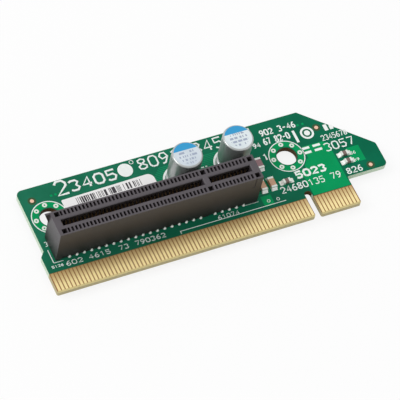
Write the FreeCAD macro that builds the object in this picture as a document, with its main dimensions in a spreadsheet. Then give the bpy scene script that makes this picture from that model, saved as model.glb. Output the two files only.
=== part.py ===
import FreeCAD, Part
import math
import os
import re
import Sketcher

# PCI Express riser card: a small adapter board with an x16 card edge, a straight x8 socket,
# two capacitors, six chips and two plated mounting holes.
# The card lies flat, component side up: X runs along the card edge towards its key notch,
# Y runs from the card edge to the board's top edge, Z is up.
# The origin is under the middle of the card, on the plane that the socket's tails stand on.
# "Card" coordinates, used below, start at the key notch's centre line and the card edge.

SIZES = {
    # Circuit board
    "board_thickness": 1.57,
    "board_height": 31.05,
    "contact_pitch": 1.0,
    "key_to_first_contact": 1.5,
    "long_finger_count": 71,
    "short_finger_count": 11,
    "tongue_margin": 0.65,
    "tongue_height": 8.45,
    "wing_overhang": 11.8,
    "step_height": 10.9,
    "step_inset": 1.2,
    "step_rise": 1.4,
    "slope_run": 15.95,
    "slope_drop": 15.3,
    "key_notch_width": 1.9,
    "key_notch_depth": 7.65,
    "top_corner_radius": 1.6,
    "wing_top_radius": 1.0,
    "wing_bottom_radius": 1.3,
    "tongue_root_radius": 0.4,
    "tongue_corner_radius": 0.5,
    "notch_top_radius": 0.8,
    "bevel_run": 0.45,
    "bevel_angle": 20.0,
    # Gold fingers
    "finger_width": 0.7,
    "finger_length": 5.15,
    "copper_thickness": 0.05,
    # Mounting holes and the vias around them
    "mounting_hole_diameter": 5.4,
    "right_hole_offset": 0.2,
    "right_hole_height": 19.2,
    "left_hole_inset": 5.55,
    "left_hole_gap": 5.18,
    "via_ring_radius": 3.75,
    "via_count": 8,
    "via_pad_diameter": 1.3,
    "via_drill": 0.45,
    "via_wall": 0.05,
    # Fiducial marks
    "fiducial_diameter": 1.05,
    "corner_fiducial_offset": 2.53,
    "corner_fiducial_rise": 5.9,
    "slope_fiducial_offset": 11.06,
    "slope_fiducial_drop": 6.05,
    "wing_fiducial_inset": 4.3,
    "wing_fiducial_rise": 1.48,
    # Socket housing
    "long_position_count": 38,
    "short_position_count": 11,
    "socket_end_margin": 2.7,
    "socket_left_inset": 1.89,
    "socket_line_height": 12.47,
    "housing_height": 11.15,
    "slot_width": 1.8,
    "slot_depth": 8.5,
    "slot_end_margin": 0.8,
    "slot_lead_in": 0.2,
    "key_wall": 1.65,
    "rail_thickness": 1.0,
    "rail_height": 1.0,
    "cavity_width": 0.56,
    "cavity_depth": 1.3,
    "outer_wall": 0.45,
    "core_pocket_size": 1.3,
    "core_pocket_depth": 3.0,
    "left_core_margin": 1.15,
    "right_core_margin": 1.5,
    "foot_height": 0.4,
    "end_foot_length": 1.5,
    "key_foot_length": 1.5,
    "jog_channel_height": 0.5,
    "jog_channel_wall": 0.95,
    "tail_notch_width": 0.6,
    "peg_diameter": 2.35,
    "peg_length": 1.9,
    "peg_clearance": 0.05,
    "left_peg_inset": 1.22,
    "rib_reach": 1.3,
    "rib_drop": 3.85,
    "rib_thickness": 0.5,
    "slit_width": 0.2,
    "slit_length": 3.75,
    "slit_hook": 0.6,
    "slit_depth": 0.25,
    # Socket contacts and their solder
    "contact_width": 0.45,
    "contact_thickness": 0.25,
    "inner_row_spacing": 2.5,
    "outer_row_spacing": 6.9,
    "stem_gap": 0.1,
    "stem_height": 5.2,
    "spring_height": 7.9,
    "spring_gap": 0.9,
    "tip_height": 9.7,
    "tip_setback": 0.3,
    "tail_protrusion": 1.4,
    "tail_hole_diameter": 0.7,
    "solder_clearance": 0.01,
    "solder_pad_diameter": 0.9,
    "solder_collar": 0.08,
    "solder_cone_height": 0.8,
    "solder_tip_ring": 0.06,
    # Capacitors
    "can_diameter": 8.0,
    "can_top": 11.4,
    "can_standoff": 0.25,
    "can_edge_radius": 0.6,
    "crimp_height": 2.2,
    "crimp_radius": 0.8,
    "crimp_depth": 0.45,
    "curl_width": 0.8,
    "seal_height": 1.5,
    "seal_clearance": 0.01,
    "lead_diameter": 0.6,
    "lead_spacing": 3.5,
    "lead_protrusion": 1.2,
    "lead_hole_diameter": 0.9,
    "lead_pad_diameter": 1.8,
    "right_can_offset": 14.87,
    "can_spacing": 14.5,
    "left_can_gap": 1.02,
    "right_can_gap": 1.74,
    # Chips: two sizes, lying along X or along Y
    "large_chip_length": 3.1,
    "large_chip_width": 1.5,
    "large_chip_height": 1.1,
    "small_chip_length": 2.0,
    "small_chip_width": 1.15,
    "small_chip_height": 0.8,
    "terminal_band": 0.5,
    "terminal_thickness": 0.03,
    "chip_solder_run": 0.5,
    "chip_solder_share": 0.667,
    "socket_chip_gap": 2.5,
    "socket_chip_spacing": 2.7,
    "socket_chip_height": 12.5,
    "middle_chip_gap": 2.25,
    "middle_chip_height": 11.95,
    "can_chip_gap": 1.75,
    "can_chip_height": 18.95,
    "wing_chip_offset": 14.35,
    "lower_wing_chip_height": 12.65,
    "wing_chip_spacing": 2.4,
    # Label
    "label_thickness": 0.1,
    "label_height": 6.35,
    "label_turn": 1.2,
    "label_left_gap": 0.15,
    "label_right_gap": 2.2,
    "label_socket_gap": 2.8,
    "label_corner_radius": 1.7,
    "label_small_radius": 0.3,
}

# Values that follow from the sizes above.
FORMULAS = {
    # Board outline, from the key notch's centre line
    "tongue_left": "-(key_to_first_contact + (long_finger_count - 1) * contact_pitch + tongue_margin)",
    "tongue_right": "key_to_first_contact + (short_finger_count - 1) * contact_pitch + tongue_margin",
    "board_left": "tongue_left + step_inset",
    "board_right": "tongue_right + wing_overhang",
    "bevel_depth": "bevel_run * tan(bevel_angle * 1deg)",
    # Card coordinates in the part's frame
    "card_x": "-(tongue_left + board_right) / 2",
    "card_y": "-board_height / 2",
    "board_bottom": "tail_protrusion",
    "board_top": "tail_protrusion + board_thickness",
    # Socket, from its own key wall's centre, its centre line and the board's top face
    "last_long": "key_to_first_contact + (long_position_count - 1) * contact_pitch",
    "last_short": "key_to_first_contact + (short_position_count - 1) * contact_pitch",
    "housing_left": "-(last_long + socket_end_margin)",
    "housing_right": "last_short + socket_end_margin",
    "cavity_inner": "slot_width / 2 + rail_thickness",
    "cavity_outer": "cavity_inner + cavity_depth",
    "housing_half_width": "cavity_outer + outer_wall",
    "slot_left": "-(last_long + slot_end_margin)",
    "slot_right": "last_short + slot_end_margin",
    "channel_top": "foot_height + jog_channel_height",
    "left_peg_x": "housing_left + left_peg_inset",
    "socket_x": "board_left + socket_left_inset - housing_left",
    "socket_end": "socket_x + housing_right",
    "socket_far_face": "socket_line_height + housing_half_width",
    # Mounting holes
    "left_hole_x": "board_left + left_hole_inset",
    "left_hole_y": "socket_far_face + left_hole_gap",
    "right_hole_x": "-right_hole_offset",
    "via_hole": "via_drill + 2 * via_wall + 2 * solder_clearance",
    # Capacitors
    "can_radius": "can_diameter / 2",
    "left_can_x": "right_can_x - can_spacing",
    "right_can_x": "-right_can_offset",
    "left_can_y": "socket_far_face + left_can_gap + can_radius",
    "right_can_y": "socket_far_face + right_can_gap + can_radius",
    "seal_radius": "can_radius - curl_width",
    "seal_top": "can_standoff + seal_height",
    # Label, between the left hole's vias and the left capacitor
    "label_left": "left_hole_x + via_ring_radius + via_pad_diameter / 2 + label_left_gap",
    "label_right": "left_can_x - can_radius - label_right_gap",
    "label_y": "socket_far_face + label_socket_gap + label_height / 2",
}

# How near, in millimetres, an edge must be to the place it is looked for.
NEAR = 1e-4

document = FreeCAD.newDocument("pcie_riser_card")
sheet = document.addObject("Spreadsheet::Sheet", "Sizes")
for row, (alias, number) in enumerate(SIZES.items(), 1):
    sheet.set(f"A{row}", alias)
    sheet.set(f"B{row}", str(number))
    sheet.setAlias(f"B{row}", alias)
document.recompute()

parts = []


def expand(formula):
    """The formula as an expression on the sheet's cells."""

    def name_to_cell(match):
        word = match.group(0)
        if word in FORMULAS:
            return "(" + expand(FORMULAS[word]) + ")"
        if word in SIZES:
            return "Sizes." + word
        return word

    return re.sub(r"[a-z][a-z_]+", name_to_cell, formula)


def value(formula):
    """The formula's number, for geometry that is built directly."""
    return float(sheet.evalExpression(expand(formula)))


def bind(item, path, formula):
    item.setExpression(path, expand(formula))


def place(item, x, y, z):
    """Places an item by card x, card y and height above the part's resting plane."""
    bind(item, "Placement.Base.x", f"card_x + {x}")
    bind(item, "Placement.Base.y", f"card_y + {y}")
    bind(item, "Placement.Base.z", z)


def new_part(kind, name):
    """A document object that is one of the card's sub-parts."""
    item = document.addObject(kind, name)
    item.Label = name
    parts.append(item)
    return item


def new_sketch(body, role, name, height="0"):
    """A sketch on one of the body's own origin planes, moved along the plane's normal."""
    sketch = body.newObject("Sketcher::SketchObject", name)
    plane = next(item for item in body.Origin.OriginFeatures if item.Role == role)
    sketch.AttachmentSupport = (plane, [""])
    sketch.MapMode = "FlatFace"
    bind(sketch, "AttachmentOffset.Base.z", height)
    return sketch


def hold(sketch, kind, references, formula):
    """A dimension of the sketch, bound to its formula."""
    index = sketch.addConstraint(Sketcher.Constraint(kind, *references, value(formula)))
    bind(sketch, f"Constraints[{index}]", formula)


def add_polygon(sketch, points):
    """A closed outline whose corners are pairs of formulas."""
    first = sketch.GeometryCount
    corners = [FreeCAD.Vector(value(x), value(y), 0) for x, y in points]
    for start, end in zip(corners, corners[1:] + corners[:1]):
        sketch.addGeometry(Part.LineSegment(start, end))
    for step, (x, y) in enumerate(points):
        line = first + step
        before = first + (step - 1) % len(points)
        sketch.addConstraint(Sketcher.Constraint("Coincident", before, 2, line, 1))
        hold(sketch, "DistanceX", (-1, 1, line, 1), x)
        hold(sketch, "DistanceY", (-1, 1, line, 1), y)


def add_rectangle(sketch, left, right, low, high):
    add_polygon(sketch, [(left, low), (right, low), (right, high), (left, high)])


def add_circle(sketch, x, y, diameter):
    centre = FreeCAD.Vector(value(x), value(y), 0)
    circle = sketch.addGeometry(Part.Circle(centre, FreeCAD.Vector(0, 0, 1), value(diameter) / 2))
    hold(sketch, "DistanceX", (-1, 1, circle, 3), x)
    hold(sketch, "DistanceY", (-1, 1, circle, 3), y)
    hold(sketch, "Diameter", (circle,), diameter)


def add_pad(body, sketch, length):
    pad = body.newObject("PartDesign::Pad", f"{sketch.Name}_pad")
    pad.Profile = sketch
    bind(pad, "Length", length)
    sketch.Visibility = False
    return pad


def add_pocket(body, sketch, depth, upwards=False):
    """Cuts against the sketch's normal, or along it when it starts at a lower face."""
    pocket = body.newObject("PartDesign::Pocket", f"{sketch.Name}_pocket")
    pocket.Profile = sketch
    pocket.Reversed = upwards
    bind(pocket, "Length", depth)
    return pocket


def add_through_pocket(body, sketch):
    pocket = body.newObject("PartDesign::Pocket", f"{sketch.Name}_pocket")
    pocket.Profile = sketch
    pocket.SideType = "Symmetric"
    pocket.Type = "ThroughAll"
    return pocket


def add_row(body, feature, sketch, count, spacing, backwards=False):
    """Repeats a feature along the sketch's horizontal axis."""
    row = body.newObject("PartDesign::LinearPattern", f"{feature.Name}_row")
    row.Originals = [feature]
    row.Direction = (sketch, ["H_Axis"])
    row.Reversed = backwards
    row.Mode = "Spacing"
    bind(row, "Offset", spacing)
    bind(row, "Occurrences", count)
    body.Tip = row
    return row


def round_corners(body, base, corners, radius):
    """Fillets the upright edges that stand on the given corners."""
    document.recompute()
    spots = [(value(x), value(y)) for x, y in corners]
    names = []
    for number, edge in enumerate(base.Shape.Edges, 1):
        start, end = edge.Vertexes[0].Point, edge.Vertexes[-1].Point
        upright = math.hypot(start.x - end.x, start.y - end.y) < NEAR
        if upright and any(math.hypot(start.x - x, start.y - y) < NEAR for x, y in spots):
            names.append(f"Edge{number}")
    fillet = body.newObject("PartDesign::Fillet", f"{body.Name}_fillet")
    fillet.Base = (base, names)
    bind(fillet, "Radius", radius)
    return fillet


def round_ring(body, base, ring_radius, height, radius):
    """Fillets the circular edge of the given radius and height on a turned body."""
    document.recompute()
    names = []
    for number, edge in enumerate(base.Shape.Edges, 1):
        if isinstance(edge.Curve, Part.Circle):
            same_radius = abs(edge.Curve.Radius - value(ring_radius)) < NEAR
            if same_radius and abs(edge.Curve.Center.z - value(height)) < NEAR:
                names.append(f"Edge{number}")
    fillet = body.newObject("PartDesign::Fillet", f"{body.Name}_fillet")
    fillet.Base = (base, names)
    bind(fillet, "Radius", radius)
    return fillet


def add_group(name, solids):
    """A sub-part of many like solids, already in card coordinates above the resting plane."""
    group = new_part("Part::Feature", name)
    group.Shape = Part.makeCompound(solids)
    place(group, "0", "0", "0")
    return group


def moved(shape, x, y, z):
    copy = shape.copy()
    copy.translate(FreeCAD.Vector(x, y, z))
    return copy


# ---------------------------------------------------------------- Socket positions

def socket_positions(parity):
    """Offsets from the socket's key of every second contact: pins are numbered from the
    short end, and parity 0 gives the even ones."""
    first = value("key_to_first_contact")
    pitch = value("contact_pitch")
    shorts = round(value("short_position_count"))
    longs = round(value("long_position_count"))
    offsets = []
    for pin in range(1, shorts + longs + 1):
        if pin % 2 == parity:
            steps = shorts - pin
            offsets.append(first + steps * pitch if steps >= 0 else -first + (steps + 1) * pitch)
    return offsets


# Contact rows: name, side, parity of its pins and distance of its tails from the centre line.
CONTACT_ROWS = (
    ("near_outer_contacts", -1, 0, "outer_row_spacing / 2"),
    ("near_inner_contacts", -1, 1, "inner_row_spacing / 2"),
    ("far_inner_contacts", 1, 0, "inner_row_spacing / 2"),
    ("far_outer_contacts", 1, 1, "outer_row_spacing / 2"),
)


# ---------------------------------------------------------------- Circuit board

board = new_part("PartDesign::Body", "circuit_board")
place(board, "0", "0", "board_bottom")

outline = new_sketch(board, "XY_Plane", "board_outline")
add_polygon(
    outline,
    [
        ("tongue_left", "0"),
        ("-key_notch_width / 2", "0"),
        ("-key_notch_width / 2", "key_notch_depth"),
        ("key_notch_width / 2", "key_notch_depth"),
        ("key_notch_width / 2", "0"),
        ("tongue_right", "0"),
        ("tongue_right", "tongue_height"),
        ("board_right", "tongue_height"),
        ("board_right", "board_height - slope_drop"),
        ("board_right - slope_run", "board_height"),
        ("board_left", "board_height"),
        ("board_left", "step_height + step_rise"),
        ("tongue_left", "step_height"),
    ],
)
plate = add_pad(board, outline, "board_thickness")

plate = round_corners(board, plate, [("board_left", "board_height")], "top_corner_radius")
plate = round_corners(
    board, plate, [("board_right", "board_height - slope_drop")], "wing_top_radius"
)
plate = round_corners(board, plate, [("board_right", "tongue_height")], "wing_bottom_radius")
plate = round_corners(board, plate, [("tongue_right", "tongue_height")], "tongue_root_radius")
plate = round_corners(
    board,
    plate,
    [
        ("tongue_left", "0"),
        ("-key_notch_width / 2", "0"),
        ("key_notch_width / 2", "0"),
        ("tongue_right", "0"),
    ],
    "tongue_corner_radius",
)
plate = round_corners(
    board,
    plate,
    [
        ("-key_notch_width / 2", "key_notch_depth"),
        ("key_notch_width / 2", "key_notch_depth"),
    ],
    "notch_top_radius",
)

# The card edge is beveled on both faces.
bevel = new_sketch(board, "YZ_Plane", "edge_bevel")
add_polygon(bevel, [("0", "0"), ("bevel_run", "0"), ("0", "bevel_depth")])
add_polygon(
    bevel,
    [
        ("0", "board_thickness"),
        ("bevel_run", "board_thickness"),
        ("0", "board_thickness - bevel_depth"),
    ],
)
add_through_pocket(board, bevel)

# Mounting holes, each in a ring of vias.
for side, x, y in (
    ("left", "left_hole_x", "left_hole_y"),
    ("right", "right_hole_x", "right_hole_height"),
):
    holes = new_sketch(board, "XY_Plane", f"{side}_mounting_hole")
    add_circle(holes, x, y, "mounting_hole_diameter")
    add_through_pocket(board, holes)
    seed = new_sketch(board, "XY_Plane", f"{side}_via_hole")
    bind(seed, "AttachmentOffset.Base.x", x)
    bind(seed, "AttachmentOffset.Base.y", y)
    add_circle(seed, "via_ring_radius", "0", "via_hole")
    drilled = add_through_pocket(board, seed)
    ring = board.newObject("PartDesign::PolarPattern", f"{side}_via_ring")
    ring.Originals = [drilled]
    ring.Axis = (seed, ["N_Axis"])
    bind(ring, "Occurrences", "round(via_count)")
    board.Tip = ring

# Holes for the socket's tails: four zigzag rows on each side of its key.
near_outer = "socket_line_height - outer_row_spacing / 2"
near_inner = "socket_line_height - inner_row_spacing / 2"
far_inner = "socket_line_height + inner_row_spacing / 2"
far_outer = "socket_line_height + outer_row_spacing / 2"
even_first_short = "socket_x + last_short - contact_pitch"
odd_first_short = "socket_x + last_short"
longest_first = "socket_x - key_to_first_contact"
longest_second = "socket_x - key_to_first_contact - contact_pitch"
for name, even_x, odd_x, even_count, odd_count in (
    (
        "short_tail_holes",
        even_first_short,
        odd_first_short,
        "floor(short_position_count / 2)",
        "ceil(short_position_count / 2)",
    ),
    (
        "long_tail_holes",
        longest_first,
        longest_second,
        "ceil(long_position_count / 2)",
        "floor(long_position_count / 2)",
    ),
):
    for parity, x, rows, count in (
        ("even", even_x, (near_outer, far_inner), even_count),
        ("odd", odd_x, (near_inner, far_outer), odd_count),
    ):
        seed = new_sketch(board, "XY_Plane", f"{parity}_{name}")
        for y in rows:
            add_circle(seed, x, y, "tail_hole_diameter")
        drilled = add_through_pocket(board, seed)
        add_row(board, drilled, seed, count, "2 * contact_pitch", backwards=True)

# Holes for the socket's pegs and the capacitors' leads.
large_holes = new_sketch(board, "XY_Plane", "peg_and_lead_holes")
for x in ("0", "left_peg_x"):
    add_circle(
        large_holes, f"socket_x + {x}", "socket_line_height", "peg_diameter + 2 * peg_clearance"
    )
for x, y in (("left_can_x", "left_can_y"), ("right_can_x", "right_can_y")):
    for side in ("-", "+"):
        add_circle(large_holes, x, f"{y} {side} lead_spacing / 2", "lead_hole_diameter")
board.Tip = add_through_pocket(board, large_holes)


# ---------------------------------------------------------------- Gold fingers, vias, fiducials


def finger_offsets():
    """Card x of every finger on one face of the card edge."""
    first = value("key_to_first_contact")
    pitch = value("contact_pitch")
    longs = [-first - step * pitch for step in range(round(value("long_finger_count")))]
    shorts = [first + step * pitch for step in range(round(value("short_finger_count")))]
    return longs + shorts


copper = value("copper_thickness")
finger_width = value("finger_width")
finger = Part.makeBox(
    finger_width,
    value("finger_length"),
    copper,
    FreeCAD.Vector(-finger_width / 2, value("bevel_run"), 0),
)
for name, level in (
    ("gold_fingers_front", value("board_top")),
    ("gold_fingers_back", value("board_bottom") - copper),
):
    add_group(name, [moved(finger, x, 0, level) for x in finger_offsets()])


def via_rivet():
    """A plated via: a tube through the board with a ring pad on each face."""
    bore = value("via_drill / 2")
    barrel = bore + value("via_wall")
    pad = value("via_pad_diameter / 2")
    top = value("board_top")
    low = value("board_bottom") - copper
    height = top + copper - low
    rivet = Part.makeCylinder(barrel, height, FreeCAD.Vector(0, 0, low))
    for level in (low, top):
        rivet = rivet.fuse(Part.makeCylinder(pad, copper, FreeCAD.Vector(0, 0, level)))
    return rivet.cut(Part.makeCylinder(bore, height, FreeCAD.Vector(0, 0, low)))


rivet = via_rivet()
for name, x, y in (
    ("mounting_hole_vias_left", "left_hole_x", "left_hole_y"),
    ("mounting_hole_vias_right", "right_hole_x", "right_hole_height"),
):
    vias = []
    count = round(value("via_count"))
    for step in range(count):
        angle = 2 * math.pi * step / count
        reach = value("via_ring_radius")
        vias.append(
            moved(rivet, value(x) + reach * math.cos(angle), value(y) + reach * math.sin(angle), 0)
        )
    add_group(name, vias)

mark = Part.makeCylinder(value("fiducial_diameter / 2"), copper)
marks = []
for x, y in (
    ("left_hole_x - corner_fiducial_offset", "left_hole_y + corner_fiducial_rise"),
    ("slope_fiducial_offset", "board_height - slope_fiducial_drop"),
    ("board_right - wing_fiducial_inset", "tongue_height + wing_fiducial_rise"),
):
    marks.append(moved(mark, value(x), value(y), value("board_top")))
add_group("fiducial_marks", marks)


# ---------------------------------------------------------------- Socket housing

housing = document.addObject("PartDesign::Body", "housing_shell")

block = new_sketch(housing, "XY_Plane", "housing_block")
add_rectangle(
    block, "housing_left", "housing_right", "-housing_half_width", "housing_half_width"
)
add_pad(housing, block, "housing_height")

# A rib stands on the long end's wall and runs out downwards.
rib = new_sketch(housing, "XZ_Plane", "end_rib", "-housing_half_width")
add_polygon(
    rib,
    [
        ("housing_left", "housing_height"),
        ("housing_left - rib_reach", "housing_height"),
        ("housing_left", "housing_height - rib_drop"),
    ],
)
add_pad(housing, rib, "rib_thickness")

# Pegs that locate the socket in the board.
pegs = new_sketch(housing, "XY_Plane", "locating_pegs")
for x in ("0", "left_peg_x"):
    add_circle(pegs, x, "0", "peg_diameter")
peg_pad = add_pad(housing, pegs, "peg_length")
peg_pad.Reversed = True

# The card slot, in two lengths with the key wall between them.
slot = new_sketch(housing, "XY_Plane", "card_slot", "housing_height")
add_rectangle(slot, "slot_left", "-key_wall / 2", "-slot_width / 2", "slot_width / 2")
add_rectangle(slot, "key_wall / 2", "slot_right", "-slot_width / 2", "slot_width / 2")
mouth = add_pocket(housing, slot, "slot_depth")

# The slot's mouth is chamfered all round, to lead the card in.
document.recompute()
mouth_edges = []
for number, edge in enumerate(mouth.Shape.Edges, 1):
    points = [vertex.Point for vertex in edge.Vertexes]
    at_top = all(abs(point.z - value("housing_height")) < NEAR for point in points)
    if at_top and all(abs(abs(point.y) - value("slot_width / 2")) < NEAR for point in points):
        mouth_edges.append(f"Edge{number}")
lead_in = housing.newObject("PartDesign::Chamfer", "slot_lead_in")
lead_in.Base = (mouth, mouth_edges)
bind(lead_in, "Size", "slot_lead_in")

# Blind core pockets at both ends and at the key.
cores = new_sketch(housing, "XY_Plane", "core_pockets", "housing_height")
for x in ("-last_long - left_core_margin", "0", "last_short + right_core_margin"):
    for side in ("-", ""):
        middle = f"{side}(cavity_inner + cavity_outer) / 2"
        add_rectangle(
            cores,
            f"{x} - core_pocket_size / 2",
            f"{x} + core_pocket_size / 2",
            f"{middle} - core_pocket_size / 2",
            f"{middle} + core_pocket_size / 2",
        )
add_pocket(housing, cores, "core_pocket_depth")

# The underside stands on feet at the ends and the key, and is relieved for the tails' jogs.
relief = new_sketch(housing, "XY_Plane", "underside_relief")
channels = new_sketch(housing, "XY_Plane", "jog_channels")
for left, right in (
    ("housing_left + end_foot_length", "-key_foot_length / 2"),
    ("key_foot_length / 2", "housing_right - end_foot_length"),
):
    add_rectangle(
        relief, left, right, "-housing_half_width - outer_wall", "housing_half_width + outer_wall"
    )
    for side in ("-", ""):
        low = f"{side}jog_channel_wall"
        high = f"{side}cavity_outer"
        add_rectangle(channels, left, right, low, high)
add_pocket(housing, relief, "foot_height", upwards=True)
add_pocket(housing, channels, "channel_top", upwards=True)

# A hooked slit in the near wall, beside the short end's last contact.
slit = new_sketch(housing, "XZ_Plane", "wall_slit", "housing_half_width")
slit_x = "slot_right"
slit_low = "housing_height - slit_length"
add_polygon(
    slit,
    [
        (f"{slit_x} + slit_width / 2", "housing_height"),
        (f"{slit_x} - slit_width / 2", "housing_height"),
        (f"{slit_x} - slit_width / 2", f"{slit_low} + slit_width"),
        (f"{slit_x} - slit_hook", f"{slit_low} + slit_width"),
        (f"{slit_x} - slit_hook", slit_low),
        (f"{slit_x} + slit_width / 2", slit_low),
    ],
)
housing.Tip = add_pocket(housing, slit, "slit_depth")


def cavity_cutter(outer_side):
    """Everything cut out at one contact position: a cavity through each wall, the windows that
    open both into the slot below the rails, and a notch that lets the outer tail out."""
    width = value("cavity_width")
    height = value("housing_height")
    inner = value("cavity_inner")
    depth = value("cavity_depth")
    window_low = value("housing_height - slot_depth")
    window = height - value("rail_height") - window_low
    notch_width = value("tail_notch_width")
    notch_start = value("cavity_outer") - width
    notch_end = value("housing_half_width + outer_wall")
    cutter = Part.makeBox(width, 2 * inner, window, FreeCAD.Vector(-width / 2, -inner, window_low))
    for y in (-inner - depth, inner):
        start = FreeCAD.Vector(-width / 2, y, -height)
        cutter = cutter.fuse(Part.makeBox(width, depth, 3 * height, start))
    y = notch_start if outer_side > 0 else -notch_end
    notch = Part.makeBox(
        notch_width,
        notch_end - notch_start,
        value("channel_top") + height,
        FreeCAD.Vector(-notch_width / 2, y, -height),
    )
    return cutter.fuse(notch)


# Even pins have their outer tail on the near side, odd pins on the far side.
cutters = document.addObject("Part::Feature", "contact_cavities")
cutters.Shape = Part.makeCompound(
    [
        moved(cavity_cutter(side), x, 0, 0)
        for side, parity in ((-1, 0), (1, 1))
        for x in socket_positions(parity)
    ]
)
socket = new_part("Part::Cut", "socket_housing")
socket.Base = housing
socket.Tool = cutters
place(socket, "socket_x", "socket_line_height", "board_top")


# ---------------------------------------------------------------- Contacts and solder joints


def strip_outline(points, thickness):
    """The outline of a strip of even thickness, bent along a line of (y, z) points."""
    path = [FreeCAD.Vector(0, y, z) for y, z in points]
    directions = [(end - start).normalize() for start, end in zip(path, path[1:])]
    normals = [FreeCAD.Vector(0, -run.z, run.y) for run in directions]
    before = [normals[0]] + normals
    after = normals + [normals[-1]]
    one_side = []
    other_side = []
    for point, first, second in zip(path, before, after):
        mitre = (first + second) * (thickness / 2 / (1 + first.dot(second)))
        one_side.append(point + mitre)
        other_side.append(point - mitre)
    return one_side + other_side[::-1]


def contact(side, tail_distance):
    """One bent contact, from its tail tip through its spring to the tip behind the rail."""
    thickness = value("contact_thickness")
    width = value("contact_width")
    foot = value("board_thickness + tail_protrusion")
    jog = value("channel_top") - thickness
    stem = value("cavity_outer - stem_gap - contact_thickness / 2")
    crest = value("spring_gap / 2") + thickness / 2
    tip = value("cavity_inner + tip_setback")
    points = [
        (tail_distance, -foot),
        (tail_distance, jog),
        (stem, jog),
        (stem, value("stem_height")),
        (crest, value("spring_height")),
        (tip, value("tip_height")),
    ]
    corners = strip_outline([(side * y, z) for y, z in points], thickness)
    face = Part.Face(Part.makePolygon(corners + corners[:1]))
    strip = face.extrude(FreeCAD.Vector(width, 0, 0))
    return moved(strip, -width / 2, 0, value("board_top"))


def solder_rivet(hole, pad, tail_section, collar):
    """Solder in one hole: a fill with a cone under the board, around a lead or tail.
    The collar is its height above the board, 0 where a piece covers the hole."""
    fill = hole / 2 - value("solder_clearance")
    bottom = value("board_bottom")
    top = value("board_top")
    rim = value("solder_collar")
    cone_height = min(value("solder_cone_height"), value("tail_protrusion") - 2 * rim)
    tip = fill - value("solder_tip_ring")
    profile = [
        (0, top + collar),
        (pad / 2 if collar else fill, top + collar),
        (pad / 2 if collar else fill, top),
        (fill, top),
        (fill, bottom),
        (pad / 2, bottom),
        (pad / 2, bottom - rim),
        (tip, bottom - rim - cone_height),
        (0, bottom - rim - cone_height),
    ]
    corners = []
    for reach, height in profile:
        corner = FreeCAD.Vector(reach, 0, height)
        if not corners or corner.distanceToPoint(corners[-1]) > NEAR:
            corners.append(corner)
    face = Part.Face(Part.makePolygon(corners + corners[:1]))
    turned = face.revolve(FreeCAD.Vector(0, 0, 0), FreeCAD.Vector(0, 0, 1), 360)
    return turned.cut(tail_section)


tail_height = value("board_top + housing_height")
tail_section = Part.makeBox(
    value("contact_width"),
    value("contact_thickness"),
    tail_height,
    FreeCAD.Vector(-value("contact_width / 2"), -value("contact_thickness / 2"), 0),
)
joint = solder_rivet(
    value("tail_hole_diameter"),
    value("solder_pad_diameter"),
    tail_section,
    value("solder_collar"),
)
joints = []
for name, side, parity, distance in CONTACT_ROWS:
    spring = contact(side, value(distance))
    line = value("socket_line_height")
    contacts = []
    for offset in socket_positions(parity):
        x = value("socket_x") + offset
        contacts.append(moved(spring, x, line, 0))
        joints.append(moved(joint, x, line + side * value(distance), 0))
    add_group(name, contacts)
add_group("socket_solder_joints", joints)


# ---------------------------------------------------------------- Capacitors


def add_capacitor(name, x, y):
    """A radial capacitor: can, rubber seal, two leads and their solder."""
    can = new_part("PartDesign::Body", f"{name}_can")
    place(can, x, y, "board_top")
    profile = new_sketch(can, "XZ_Plane", f"{name}_can_profile")
    add_polygon(
        profile,
        [
            ("0", "can_top"),
            ("can_radius", "can_top"),
            ("can_radius", "can_standoff"),
            ("seal_radius + seal_clearance", "can_standoff"),
            ("seal_radius + seal_clearance", "seal_top"),
            ("0", "seal_top"),
        ],
    )
    turned = can.newObject("PartDesign::Revolution", f"{name}_can_turned")
    turned.Profile = profile
    turned.ReferenceAxis = (profile, ["V_Axis"])
    turned.Angle = 360
    crimp = new_sketch(can, "XZ_Plane", f"{name}_crimp")
    add_circle(crimp, "can_radius + crimp_radius - crimp_depth", "crimp_height", "2 * crimp_radius")
    groove = can.newObject("PartDesign::Groove", f"{name}_crimp_groove")
    groove.Profile = crimp
    groove.ReferenceAxis = (crimp, ["V_Axis"])
    groove.Angle = 360
    can.Tip = groove
    can.Tip = round_ring(can, groove, "can_radius", "can_top", "can_edge_radius")

    seal = new_part("PartDesign::Body", f"{name}_seal")
    place(seal, x, y, "board_top")
    disc = new_sketch(seal, "XY_Plane", f"{name}_seal_disc")
    add_circle(disc, "0", "0", "2 * seal_radius")
    add_pad(seal, disc, "seal_top")
    bores = new_sketch(seal, "XY_Plane", f"{name}_seal_bores")
    for side in ("-", ""):
        add_circle(bores, "0", f"{side}lead_spacing / 2", "lead_diameter + 2 * seal_clearance")
    seal.Tip = add_through_pocket(seal, bores)

    # Both leads run from the can's floor down through the seal and the board.
    radius = value("lead_diameter / 2")
    low = value("board_bottom - lead_protrusion")
    high = value("board_top + seal_top")
    lead = Part.makeCylinder(radius, high - low, FreeCAD.Vector(0, 0, low))
    section = Part.makeCylinder(radius, high, FreeCAD.Vector(0, 0, 0))
    solder = solder_rivet(
        value("lead_hole_diameter"), value("lead_pad_diameter"), section, 0
    )
    reach = value("lead_spacing / 2")
    spots = [value(y) - reach, value(y) + reach]
    add_group(f"{name}_leads", [moved(lead, value(x), spot, 0) for spot in spots])
    add_group(f"{name}_solder", [moved(solder, value(x), spot, 0) for spot in spots])


add_capacitor("left_capacitor", "left_can_x", "left_can_y")
add_capacitor("right_capacitor", "right_can_x", "right_can_y")


# ---------------------------------------------------------------- Chips


def new_box(name, lengths, centre, height):
    """A box standing on the given height above the board, its plan centred on card x, y."""
    box = document.addObject("Part::Box", name)
    for side, length in zip(("Length", "Width", "Height"), lengths):
        bind(box, side, length)
    x, y = centre
    place(box, f"{x} - ({lengths[0]}) / 2", f"{y} - ({lengths[1]}) / 2", f"board_top + {height}")
    return box


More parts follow.
